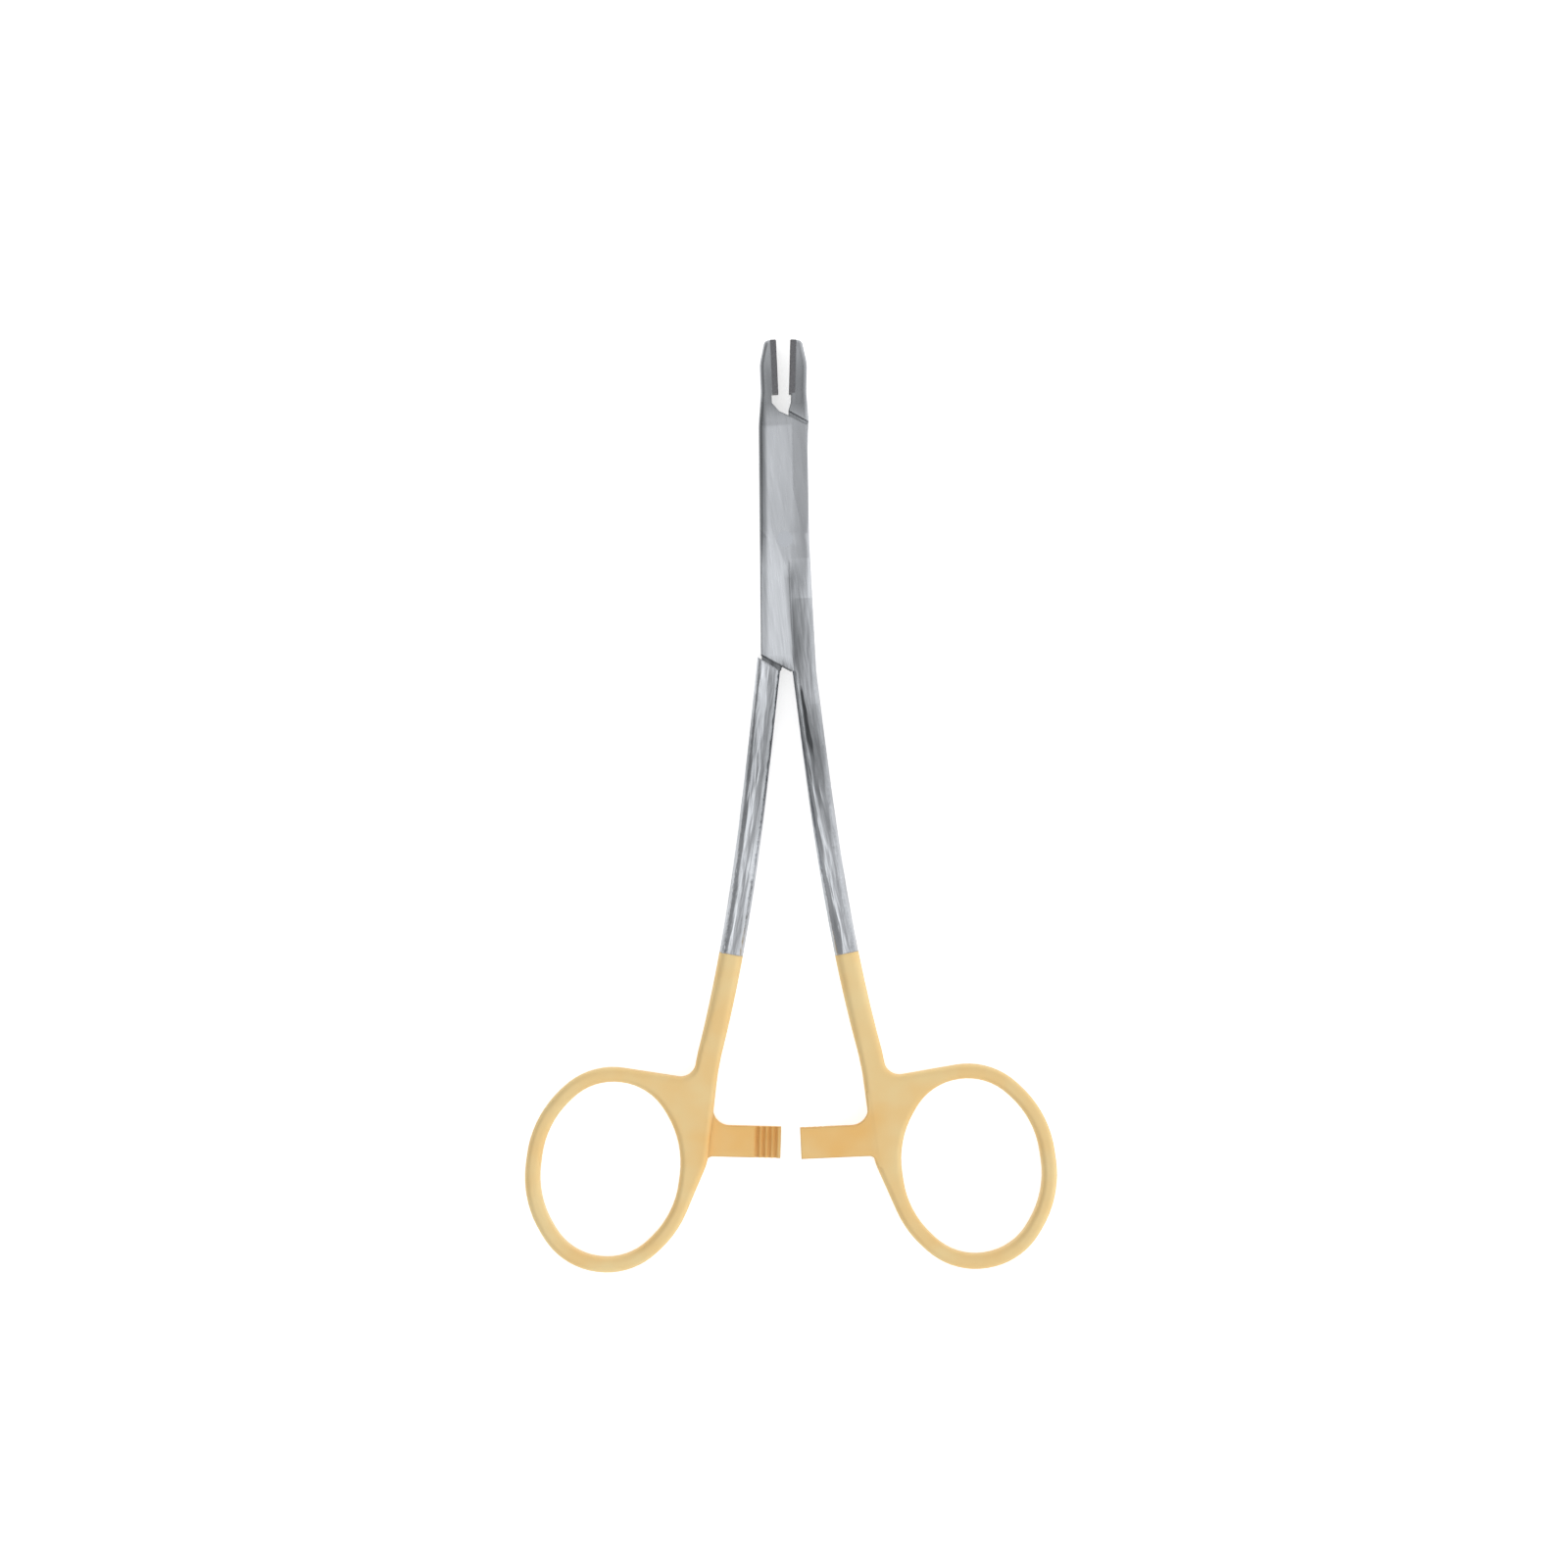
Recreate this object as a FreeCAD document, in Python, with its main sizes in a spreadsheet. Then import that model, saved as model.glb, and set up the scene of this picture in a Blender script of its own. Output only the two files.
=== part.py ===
"""Box-lock needle holder, 14 cm, lying flat with its jaws a few degrees open.

Frame: origin on the pivot axis at the underside of the lock box, +Y to the jaw tips, +X to the right,
+Z up.  Each half is drawn with the jaws closed, its mid-plane at height 0, and is then turned about the
pivot by half of the rest opening.  Lengths are in millimetres, angles in degrees.
"""
import FreeCAD, Part
import math
import os

import Sketcher

Vector = FreeCAD.Vector

# Driving dimensions: alias, value, meaning
SIZES = (
    ("box_thickness", 5.0, "lock box across its two plates"),
    ("box_half_width", 3.65, "centre of the pin to the side of the box"),
    ("box_side_taper", 1.5, "lean of the box sides above the pin"),
    ("foot_side_taper", 2.5, "lean of the box sides below the pin"),
    ("box_edge_round", 0.7, "rounding along the box and jaw edges"),
    ("crotch_height", 19.3, "pin to the crotch between the jaws"),
    ("shoulder_height", 17.2, "pin to the outer end of the jaw shoulder"),
    ("foot_depth", 19.9, "pin to the foot of the box between the shanks"),
    ("foot_shoulder_depth", 17.3, "pin to the outer end of the foot"),
    ("tongue_thickness", 1.8, "tongue that runs through the box"),
    ("tongue_half_width", 3.05, "pin to the side of the tongue"),
    ("slot_gap", 0.05, "play between the tongue and each plate"),
    ("wall_gap", 0.12, "play between the tongue and the slot's slanted walls"),
    ("shoulder_gap", 0.12, "play at the shoulders with the jaws closed"),
    ("stop_opening", 53.0, "angle at which the tongue meets the slot's corner"),
    ("rest_opening", 4.0, "angle between the jaws as the part lies"),
    ("pin_radius", 1.2, "pivot pin"),
    ("pin_running_gap", 0.03, "radial play of the pin in the tongue"),
    ("jaw_length", 30.2, "pin to the jaw tips"),
    ("jaw_tip_width", 1.75, "one jaw across its tip"),
    ("jaw_tip_round", 0.8, "outer corner of the tip"),
    ("jaw_mid_width", 2.65, "one jaw beside its insert"),
    ("jaw_mid_height", 26.6, "pin to where the tip begins to narrow"),
    ("jaw_neck_height", 22.3, "pin to the neck above the shoulder"),
    ("jaw_flank_round", 6.0, "soft corners of the jaw's outer side"),
    ("shoulder_round", 12.0, "soft corner where the jaw leaves the box"),
    ("box_flank_round", 40.0, "soft bend of the box side beside the pin"),
    ("jaw_tip_thickness", 2.9, "jaw at its tip, across the thickness"),
    ("insert_thickness", 0.9, "hard-metal insert, from seat to gripping face"),
    ("insert_root_height", 22.1, "pin to the root end of the insert"),
    ("bite_gap", 0.04, "space between the gripping faces when closed"),
    ("relief_height", 20.6, "pin to the foot of the relief behind the insert"),
    ("left_relief", 1.05, "relief behind the left insert"),
    ("right_relief", 0.35, "relief behind the right insert"),
    ("bevel_angle", 14.0, "lean of the bevel along the plates' right side"),
    ("bevel_top_reach", 1.95, "centre line to the bevel's ridge at the crotch"),
    ("bevel_waist_reach", 1.6, "centre line to the ridge above the pin"),
    ("bevel_waist_height", 7.5, "pin to where that is measured"),
    ("bevel_low_reach", 2.7, "centre line to the ridge beside the pin"),
    ("bevel_low_height", 0.8, "pin to where that is measured"),
    ("bevel_end_depth", 14.1, "pin to where the ridge is well outside the plates"),
    ("facet_top_reach", 2.3, "centre line to the top of the foot facet"),
    ("facet_top_height", 2.5, "pin to the top of the foot facet"),
    ("facet_top_angle", 0.1, "lean of the facet at its top"),
    ("facet_turn_reach", 0.54, "centre line to the facet's ridge at its turn"),
    ("facet_turn_depth", 5.8, "pin to the turn of that ridge"),
    ("facet_turn_angle", 4.5, "lean of the facet at the turn"),
    ("facet_foot_reach", 0.27, "centre line to the facet's ridge at the foot"),
    ("facet_foot_angle", 6.2, "lean of the facet at the foot"),
    ("groove_pitch", 0.8, "cross-cut grooves, measured along the insert"),
    ("groove_width", 0.3, "cross-cut groove at the gripping face"),
    ("groove_depth", 0.1, "cross-cut groove, into the insert"),
    ("shank_width", 3.6, "shank seen from above"),
    ("shank_root", 3.0, "how far the shank reaches up into the box"),
    ("shank_start_reach", 2.05, "centre line to the shank's axis at the foot"),
    ("shank_start_depth", 20.0, "depth at which that is measured"),
    ("shank_start_angle", 4.6, "lean of the upper shank"),
    ("shank_end_reach", 9.43, "centre line to the shank's axis above the ring"),
    ("shank_end_depth", 78.0, "depth at which that is measured"),
    ("shank_end_angle", 9.4, "lean of the lower shank"),
    ("shank_bow_radius", 246.0, "bow between the two runs, on the axis"),
    ("handle_thickness", 4.0, "ring and lower shank, across the thickness"),
    ("shank_thickness", 4.3, "shank at its bow, across the thickness"),
    ("shank_rounding", 1.2, "rounded corners of the shank's section"),
    ("ring_rounding", 0.95, "rounding along the edges of the ring"),
    ("ring_offset", 11.6015, "shank's axis, drawn on, to the middle of the finger hole"),
    ("ring_depth", 95.75, "pin to the middle of the finger hole"),
    ("ring_hole_length", 26.6, "finger hole, long way"),
    ("ring_hole_width", 21.0, "finger hole, short way"),
    ("ring_lean", 6.0, "lean of the finger hole's long axis"),
    ("ring_wall", 2.25, "ring seen from above"),
    ("handle_rise", 17.8, "middle of the hole up to where the shank grows out of the handle"),
    ("web_rise", 14.0, "middle of the hole up to the notch between shank and ring"),
    ("web_notch_radius", 2.3, "rounding of that notch"),
    ("inner_bend_rise", 14.8, "middle of the hole up to where the inner side leaves the shank's line"),
    ("inner_bend_round", 20.0, "rounding of that bend"),
    ("heel_reach", 10.4, "middle of the hole to the heel where the inner side joins the ring"),
    ("heel_drop", 9.4, "middle of the hole down to that heel"),
    ("heel_round", 16.0, "rounding of the heel"),
    ("crook_rise", 1.4, "middle of the hole up to the crook of the inner side"),
    ("crook_set", 1.0, "crook inside the line of the shank's inner edge"),
    ("crook_round", 8.0, "rounding of the crook"),
    ("arm_rise", 4.65, "middle of the hole up to the middle of the ratchet arm"),
    ("arm_width", 4.7, "ratchet arm seen from above"),
    ("arm_overlap", 1.68, "how far an arm passes the centre line when closed"),
    ("arm_thickness", 1.9, "ratchet arm, across the thickness"),
    ("arm_level_gap", 0.1, "space between the two arms' levels"),
    ("arm_root_radius", 2.5, "rounding where the arm leaves the shank"),
    ("arm_heel_radius", 1.0, "rounding where the arm leaves the ring"),
    ("arm_root_bite", 0.25, "how far the arm's root sinks into the handle"),
    ("arm_root_share", 0.8, "share of the ring's wall that the arm's root runs into"),
    ("tooth_pitch", 0.9, "ratchet teeth along the arm"),
    ("tooth_depth", 0.6, "ratchet teeth into the arm"),
    ("tooth_lean", 0.25, "steep flank of a tooth, along the arm"),
    ("tooth_start", 0.5, "tip of the arm to its first tooth"),
    ("tooth_count", 4, "teeth on each arm"),
    ("cut_overrun", 1.0, "how far a cut runs past the outside of a piece"),
)

ALIASES = {alias for alias, size, meaning in SIZES}

# Length below which an edge counts as flat or as a point
TINY = 0.01

document = FreeCAD.newDocument("needle_holder")
sheet = document.addObject("Spreadsheet::Sheet", "Sizes")
for row, (alias, size, meaning) in enumerate(SIZES, start=1):
    sheet.set(f"A{row}", meaning)
    sheet.set(f"B{row}", str(size))
    sheet.setAlias(f"B{row}", alias)
document.recompute()


def named(formula):
    """Put the sheet's name before each alias in a formula."""
    words = []
    word = ""
    for letter in formula + " ":
        if letter.isalnum() or letter in "_.":
            word += letter
            continue
        words.append(f"Sizes.{word}" if word in ALIASES else word)
        words.append(letter)
        word = ""
    return "".join(words).strip()


def worth(formula):
    """Value of a formula written with the sheet's aliases."""
    answer = sheet.evalExpression(named(formula))
    return float(getattr(answer, "Value", answer))


def plane_of(body, role):
    """One of the body's own origin planes."""
    return next(item for item in body.Origin.OriginFeatures if item.Role == role)


def new_sketch(body, name, role, height="0"):
    """Empty sketch on an origin plane, lifted along the plane's normal."""
    sketch = body.newObject("Sketcher::SketchObject", name)
    sketch.AttachmentSupport = (plane_of(body, role), [""])
    sketch.MapMode = "FlatFace"
    sketch.setExpression("AttachmentOffset.Base.z", named(height))
    return sketch


def pin_point(sketch, geometry, end, corner):
    """Tie a sketch point to its two formulas."""
    x_formula, y_formula = corner
    for kind, formula in (("DistanceX", x_formula), ("DistanceY", y_formula)):
        index = sketch.addConstraint(Sketcher.Constraint(kind, -1, 1, geometry, end, worth(formula)))
        sketch.setExpression(f"Constraints[{index}]", named(formula))


def add_outline(sketch, corners):
    """Closed outline from corners (x, y) or (x, y, radius), a radius rounding its corner."""
    count = len(corners)
    places = [Vector(worth(corner[0]), worth(corner[1]), 0) for corner in corners]
    radii = [worth(corner[2]) if len(corner) > 2 else 0.0 for corner in corners]
    arrive, leave, turns = [], [], []
    for index, place in enumerate(places):
        inward = (place - places[index - 1]).normalize()
        outward = (places[(index + 1) % count] - place).normalize()
        turn = math.atan2(inward.cross(outward).z, inward.dot(outward))
        reach = radii[index] * math.tan(abs(turn) / 2)
        arrive.append(place - inward * reach)
        leave.append(place + outward * reach)
        turns.append(turn)
    first = sketch.GeometryCount
    for index in range(count):
        sketch.addGeometry(Part.LineSegment(leave[index], arrive[(index + 1) % count]), False)
    for index, corner in enumerate(corners):
        line_in = first + (index - 1) % count
        line_out = first + index
        if not radii[index]:
            sketch.addConstraint(Sketcher.Constraint("Coincident", line_in, 2, line_out, 1))
            pin_point(sketch, line_out, 1, corner[:2])
            continue
        round_corner(sketch, corner, (line_in, line_out), (arrive[index], leave[index]), turns[index])


def round_corner(sketch, corner, lines, ends, turn):
    """Arc tangent to two lines whose extensions meet in the corner."""
    line_in, line_out = lines
    start, finish = ends
    radius = worth(corner[2])
    side = 1 if turn > 0 else -1
    place = Vector(worth(corner[0]), worth(corner[1]), 0)
    run = (place - start).normalize()
    centre = start + Vector(-run.y, run.x, 0) * radius * side
    angles = [math.atan2(end.y - centre.y, end.x - centre.x) for end in (start, finish)]
    circle = Part.Circle(centre, Vector(0, 0, 1), radius)
    from_angle, to_angle = angles if side > 0 else reversed(angles)
    arc = sketch.addGeometry(Part.ArcOfCircle(circle, from_angle, to_angle), False)
    arc_in, arc_out = (1, 2) if side > 0 else (2, 1)
    sketch.addConstraint(Sketcher.Constraint("Tangent", line_in, 2, arc, arc_in))
    sketch.addConstraint(Sketcher.Constraint("Tangent", line_out, 1, arc, arc_out))
    mark = sketch.addGeometry(Part.Point(place), True)
    pin_point(sketch, mark, 1, corner[:2])
    sketch.addConstraint(Sketcher.Constraint("PointOnObject", mark, 1, line_in))
    sketch.addConstraint(Sketcher.Constraint("PointOnObject", mark, 1, line_out))
    index = sketch.addConstraint(Sketcher.Constraint("Radius", arc, radius))
    sketch.setExpression(f"Constraints[{index}]", named(corner[2]))


def add_circle(sketch, radius):
    """Circle about the sketch's origin."""
    circle = sketch.addGeometry(Part.Circle(Vector(), Vector(0, 0, 1), worth(radius)), False)
    sketch.addConstraint(Sketcher.Constraint("Coincident", circle, 3, -1, 1))
    index = sketch.addConstraint(Sketcher.Constraint("Radius", circle, worth(radius)))
    sketch.setExpression(f"Constraints[{index}]", named(radius))


def pad_both_ways(body, name, sketch, thickness):
    """Solid of the sketch, half of its thickness on each side."""
    feature = body.newObject("PartDesign::Pad", name)
    feature.Profile = sketch
    feature.SideType = "Symmetric"
    feature.setExpression("Length", named(thickness))
    document.recompute()


def cut_both_ways(body, name, sketch, thickness=None):
    """Cut the sketch out, right through or over a thickness about its plane."""
    before = body.Shape.Volume
    feature = body.newObject("PartDesign::Pocket", name)
    feature.Profile = sketch
    feature.SideType = "Symmetric"
    if thickness is None:
        feature.Type = "ThroughAll"
    else:
        feature.setExpression("Length", named(thickness))
    document.recompute()
    assert body.Shape.Volume < before, name
    return feature


def cut_inwards(body, name, sketch, depth, reverse):
    """Cut the sketch out to a depth, along its normal if reversed and against it otherwise."""
    before = body.Shape.Volume
    feature = body.newObject("PartDesign::Pocket", name)
    feature.Profile = sketch
    feature.Reversed = reverse
    feature.setExpression("Length", named(depth))
    document.recompute()
    assert body.Shape.Volume < before, name
    return feature


def cut_upwards(body, name, sketch):
    """Cut the sketch out from its plane through everything above it."""
    before = body.Shape.Volume
    feature = body.newObject("PartDesign::Pocket", name)
    feature.Profile = sketch
    feature.Type = "ThroughAll"
    feature.Reversed = True
    document.recompute()
    assert body.Shape.Volume < before, name
    return feature


def mirror_level(body, name, feature):
    """Repeat a cut on the other side of the mid-plane."""
    copy = body.newObject("PartDesign::Mirrored", name)
    copy.Originals = [feature]
    copy.MirrorPlane = (plane_of(body, "XY_Plane"), [""])
    body.Tip = copy
    document.recompute()


def repeat_along(body, name, feature, axis, reverse, length, count):
    """Row of copies of a cut along one of the body's own axes."""
    row = body.newObject("PartDesign::LinearPattern", name)
    row.Originals = [feature]
    row.Direction = (plane_of(body, axis), [""])
    row.Reversed = reverse
    row.setExpression("Length", named(length))
    row.setExpression("Occurrences", named(count))
    body.Tip = row
    document.recompute()


def round_edges(body, name, radius, chosen):
    """Round the tip's edges that the test picks."""
    tip = body.Tip
    names = [f"Edge{number}" for number, edge in enumerate(tip.Shape.Edges, start=1) if chosen(edge)]
    feature = body.newObject("PartDesign::Fillet", name)
    feature.Base = (tip, names)
    feature.setExpression("Radius", named(radius))
    document.recompute()


def sided(side, corners):
    """Corners of the box half, mirrored for the tongue half."""
    return [(f"{side} * ({corner[0]})",) + tuple(corner[1:]) for corner in corners]


# Straight runs of the shank's two edges, as x at a given depth
HALF_UPPER = "shank_width / 2 / cos(shank_start_angle)"
HALF_LOWER = "shank_width / 2 / cos(shank_end_angle)"


def upper_run(edge, depth):
    """x of the upper run's inner (-1) or outer (+1) edge at a depth."""
    lean = f"(({depth}) - shank_start_depth) * tan(shank_start_angle)"
    return f"shank_start_reach + {edge} * ({HALF_UPPER}) + {lean}"


def lower_run(edge, depth):
    """x of the lower run's inner (-1) or outer (+1) edge at a depth."""
    lean = f"(({depth}) - shank_end_depth) * tan(shank_end_angle)"
    return f"shank_end_reach + {edge} * ({HALF_LOWER}) + {lean}"


def bend_corner():
    """Corner where the axes of the two runs meet."""
    apart = f"({upper_run(0, '0')}) - ({lower_run(0, '0')})"
    depth = f"({apart}) / (tan(shank_end_angle) - tan(shank_start_angle))"
    return (upper_run(0, depth), f"-({depth})")


def add_slab_section(sketch, width, thickness, rounding):
    """Rounded rectangle about the origin of a sketch across the shank."""
    half_width = f"({width}) / 2"
    half = f"({thickness}) / 2"
    add_outline(sketch, [
        (f"-({half_width})", f"-({half})", rounding),
        (half_width, f"-({half})", rounding),
        (half_width, half, rounding),
        (f"-({half_width})", half, rounding),
    ])


def side_profile(body, name, corners):
    """Cut along X whatever the side view's corners (y, height) enclose, above and below."""
    sketch = new_sketch(body, f"{name}_profile", "YZ_Plane")
    for level in ("1", "-1"):
        add_outline(sketch, [(y, f"{level} * ({height})") for y, height in corners])
    cut_both_ways(body, name, sketch)


# Centre line to the middle of the finger hole
RING_REACH = f"({lower_run(0, 'ring_depth')} + ring_offset)"

# Depth, on the shank's axis, at which the lofted shank ends and the handle's flat outline begins
HANDLE_TOP = "(ring_depth - handle_rise)"
# Depths of that square end's outer and inner corner, and of the bend in the inner side below it
OUTER_TOP = f"({HANDLE_TOP} - shank_width / 2 * sin(shank_end_angle))"
INNER_TOP = f"({HANDLE_TOP} + shank_width / 2 * sin(shank_end_angle))"
INNER_BEND = "(ring_depth - inner_bend_rise)"


def shank_stations():
    """Depth, middle, width, thickness, rounding and lean of the sections the shank is lofted through."""
    bend = f"-({bend_corner()[1]})"
    bow = "shank_bow_radius * (1 / cos((shank_end_angle - shank_start_angle) / 2) - 1)"
    root = "foot_depth - shank_root"
    upper = f"2 * {HALF_UPPER}"
    lower = f"2 * {HALF_LOWER}"
    thick, thin = "shank_thickness", "handle_thickness"
    return [
        (root, upper_run(0, root), upper, "box_thickness", "box_edge_round", "0"),
        ("foot_depth", upper_run(0, "foot_depth"), upper, "box_thickness", "box_edge_round", "0"),
        (bend, f"{upper_run(0, bend)} + {bow}", lower, thick, "shank_rounding", "0"),
        (HANDLE_TOP, lower_run(0, HANDLE_TOP), "shank_width", thin, "ring_rounding", "shank_end_angle"),
    ]


def build_shank(body, side):
    """Shank lofted from inside the box down to the handle."""
    sections = []
    for number, (depth, middle, width, thickness, rounding, lean) in enumerate(shank_stations()):
        sketch = new_sketch(body, f"shank_section_{number}", "XZ_Plane", depth)
        sketch.AttachmentOffset.Rotation = FreeCAD.Rotation(Vector(0, side, 0), 1)
        sketch.setExpression("AttachmentOffset.Base.x", named(f"{side} * ({middle})"))
        sketch.setExpression("AttachmentOffset.Rotation.Angle", named(lean))
        add_slab_section(sketch, width, thickness, rounding)
        sections.append(sketch)
    loft = body.newObject("PartDesign::AdditiveLoft", "shank")
    loft.Profile = sections[0]
    loft.Sections = sections[1:]
    document.recompute()


# The finger ring's outlines: corners, their turn, and how much of a side the arcs take up
OVAL_CORNERS = 8
OVAL_STEP = 360 / OVAL_CORNERS
OVAL_HALF_STEP = OVAL_STEP / 2
OVAL_ARC_SHARE = 0.98


def oval_corners(length, width):
    """Rounded corners about the finger hole's centre that follow an ellipse."""
    long_half = f"({length}) / 2"
    short_half = f"({width}) / 2"
    diagonal = f"sqrt(({long_half}) ^ 2 + ({short_half}) ^ 2)"
    end_turn = f"atan(({long_half}) / ({short_half}))"
    flank_turn = f"atan(({short_half}) / ({long_half}))"
    # Each radius lets its arc take up nearly all of the corner's shorter side
    end_reach = f"{OVAL_ARC_SHARE} * tan({OVAL_HALF_STEP}) * ({short_half})"
    flank_reach = f"{OVAL_ARC_SHARE} * (1 - cos({OVAL_STEP})) * {diagonal}"
    end_radius = f"{end_reach} / tan({end_turn} / 2)"
    flank_radius = f"{flank_reach} / tan({flank_turn} / 2)"
    corners = []
    for number in range(OVAL_CORNERS):
        angle = OVAL_HALF_STEP + OVAL_STEP * number
        along = f"({long_half}) * cos({angle}) / cos({OVAL_HALF_STEP})"
        across = f"({short_half}) * sin({angle}) / cos({OVAL_HALF_STEP})"
        x = f"{RING_REACH} + {along} * sin(ring_lean) + {across} * cos(ring_lean)"
        y = f"-ring_depth - {along} * cos(ring_lean) + {across} * sin(ring_lean)"
        corners.append((x, y, end_radius if number % 4 in (0, 3) else flank_radius))
    return corners


# Crook and heel of the handle's inner side, between the shank and the foot of the ring
CROOK_DEPTH = "(ring_depth - crook_rise)"
HEEL_DEPTH = "(ring_depth + heel_drop)"
HEEL_REACH = f"({RING_REACH} - heel_reach)"


def crook_reach():
    """x of the crook."""
    return f"({lower_run(-1, CROOK_DEPTH)} - crook_set)"


def inner_side(depth):
    """x of the handle's inner side at a depth between bend and crook."""
    top = f"({lower_run(-1, INNER_BEND)})"
    share = f"(({depth}) - {INNER_BEND}) / ({CROOK_DEPTH} - {INNER_BEND})"
    return f"{top} + ({crook_reach()} - {top}) * {share}"


def heel_side(depth):
    """x of the handle's inner side at a depth between crook and heel."""
    share = f"(({depth}) - {CROOK_DEPTH}) / ({HEEL_DEPTH} - {CROOK_DEPTH})"
    return f"{crook_reach()} + ({HEEL_REACH} - {crook_reach()}) * {share}"


def build_handle(body, side):
    """Lower shank, web and finger ring in one outline, rounded all along its edges."""
    notch = "(ring_depth - web_rise)"
    oval = oval_corners("ring_hole_length + 2 * ring_wall", "ring_hole_width + 2 * ring_wall")
    sketch = new_sketch(body, "handle_plan", "XY_Plane")
    add_outline(sketch, sided(side, [
        (lower_run(-1, INNER_TOP), f"-{INNER_TOP}"),
        (lower_run(1, OUTER_TOP), f"-{OUTER_TOP}"),
        (lower_run(1, notch), f"-{notch}", "web_notch_radius"),
        oval[3], oval[2], oval[1], oval[0], oval[7],
        (HEEL_REACH, f"-{HEEL_DEPTH}", "heel_round"),
        (crook_reach(), f"-{CROOK_DEPTH}", "crook_round"),
        (lower_run(-1, INNER_BEND), f"-{INNER_BEND}", "inner_bend_round"),
    ]))
    pad_both_ways(body, "handle", sketch, "handle_thickness")
    sketch = new_sketch(body, "finger_hole_plan", "XY_Plane")
    add_outline(sketch, sided(side, oval_corners("ring_hole_length", "ring_hole_width")))
    cut_both_ways(body, "finger_hole", sketch)

    def is_top_end(edge):
        return edge.BoundBox.YMin > -worth(INNER_TOP) - TINY

    def is_long_edge(edge):
        return edge.BoundBox.ZLength < TINY and not is_top_end(edge)

    round_edges(body, "handle_rounding", "ring_rounding", is_long_edge)


# Well outside the box, for outlines of cuts
FAR = "(box_half_width * 2)"

# How far the box sides have leaned at the shoulder and at the foot
SHOULDER_LEAN = "tan(box_side_taper) * shoulder_height"
FOOT_LEAN = "tan(foot_side_taper) * foot_shoulder_depth"


def jaw_corners():
    """Jaw and left side of the box, from the crotch round the tip to the foot."""
    return [
        ("-bite_gap / 2", "crotch_height"),
        ("-bite_gap / 2", "jaw_length"),
        ("-jaw_tip_width", "jaw_length", "jaw_tip_round"),
        ("-jaw_mid_width", "jaw_mid_height", "jaw_flank_round"),
        ("-jaw_mid_width", "jaw_neck_height", "jaw_flank_round"),
        (f"-(box_half_width - {SHOULDER_LEAN})", "shoulder_height", "shoulder_round"),
        (f"-(box_half_width + {FOOT_LEAN})", "-foot_shoulder_depth"),
        ("0", "-foot_depth"),
    ]


def box_corners(foot):
    """Foot across the shank and the plates' other side, back up to the crotch."""
    return [
        (upper_run(1, foot), f"-{foot}"),
        ("box_half_width", "0", "box_flank_round"),
        (f"box_half_width + {SHOULDER_LEAN}", "shoulder_height"),
    ]


def build_head(body, side):
    """Lock box and jaw, the jaw tapered in side view and both rounded along their sides."""
    foot = "foot_depth" if side > 0 else "foot_shoulder_depth"
    sketch = new_sketch(body, "head_plan", "XY_Plane")
    add_outline(sketch, sided(side, jaw_corners() + box_corners(foot)))
    pad_both_ways(body, "head", sketch, "box_thickness")
    taper_jaw(body)
    level = worth("jaw_tip_thickness") / 2 - TINY
    inner = worth("jaw_tip_width") - worth("jaw_tip_round")
    above_foot = -worth("foot_depth") + TINY

    def is_side_edge(edge):
        box = edge.BoundBox
        outside = min(abs(box.XMin), abs(box.XMax)) > inner
        raised = min(abs(box.ZMin), abs(box.ZMax)) > level
        return outside and raised and box.YLength > TINY and edge.CenterOfMass.y > above_foot

    round_edges(body, "head_rounding", "box_edge_round", is_side_edge)


def taper_jaw(body):
    """Thin the jaw from the shoulder to its tip."""
    slope = "(box_thickness - jaw_tip_thickness) / 2 / (jaw_length - shoulder_height)"
    beyond = "jaw_length + cut_overrun"
    side_profile(body, "jaw_taper", [
        ("shoulder_height", "box_thickness / 2"),
        (beyond, f"box_thickness / 2 - ({slope}) * ({beyond} - shoulder_height)"),
        (beyond, "box_thickness"),
        ("shoulder_height", "box_thickness"),
    ])


def wedge_section(body, name, height, ridge, drop, outward):
    """Section of a facet's waste: all that lies above a slope from the ridge outwards."""
    far = f"({outward} * {FAR})"
    top = "box_thickness / 2"
    sketch = new_sketch(body, name, "XZ_Plane", f"-({height})")
    add_outline(sketch, [
        (ridge, top),
        (far, f"{top} - tan({drop}) * abs({far} - ({ridge}))"),
        (far, "box_thickness"),
        (ridge, "box_thickness"),
    ])
    return sketch


def cut_facet(body, name, outward, stations):
    """Cut a facet into both plates through stations of height, ridge and lean."""
    sections = [
        wedge_section(body, f"{name}_section_{number}", height, ridge, drop, outward)
        for number, (height, ridge, drop) in enumerate(stations)
    ]
    before = body.Shape.Volume
    loft = body.newObject("PartDesign::SubtractiveLoft", f"{name}_above")
    loft.Profile = sections[0]
    loft.Sections = sections[1:]
    loft.Ruled = True
    document.recompute()
    assert body.Shape.Volume < before, name
    mirror_level(body, f"{name}_below", loft)


def cut_plate_facets(body):
    """Long bevel on the right of the plates and the facet on the left of their foot."""
    cut_facet(body, "bevel", 1, [
        ("crotch_height + cut_overrun", "bevel_top_reach", "bevel_angle"),
        ("bevel_waist_height", "bevel_waist_reach", "bevel_angle"),
        ("bevel_low_height", "bevel_low_reach", "bevel_angle"),
        ("-bevel_end_depth", "box_half_width + cut_overrun", "bevel_angle"),
    ])
    cut_facet(body, "foot_facet", -1, [
        ("facet_top_height", "-facet_top_reach", "facet_top_angle"),
        ("-facet_turn_depth", "facet_turn_reach", "facet_turn_angle"),
        ("-(foot_depth + cut_overrun)", "facet_foot_reach", "facet_foot_angle"),
    ])


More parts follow.
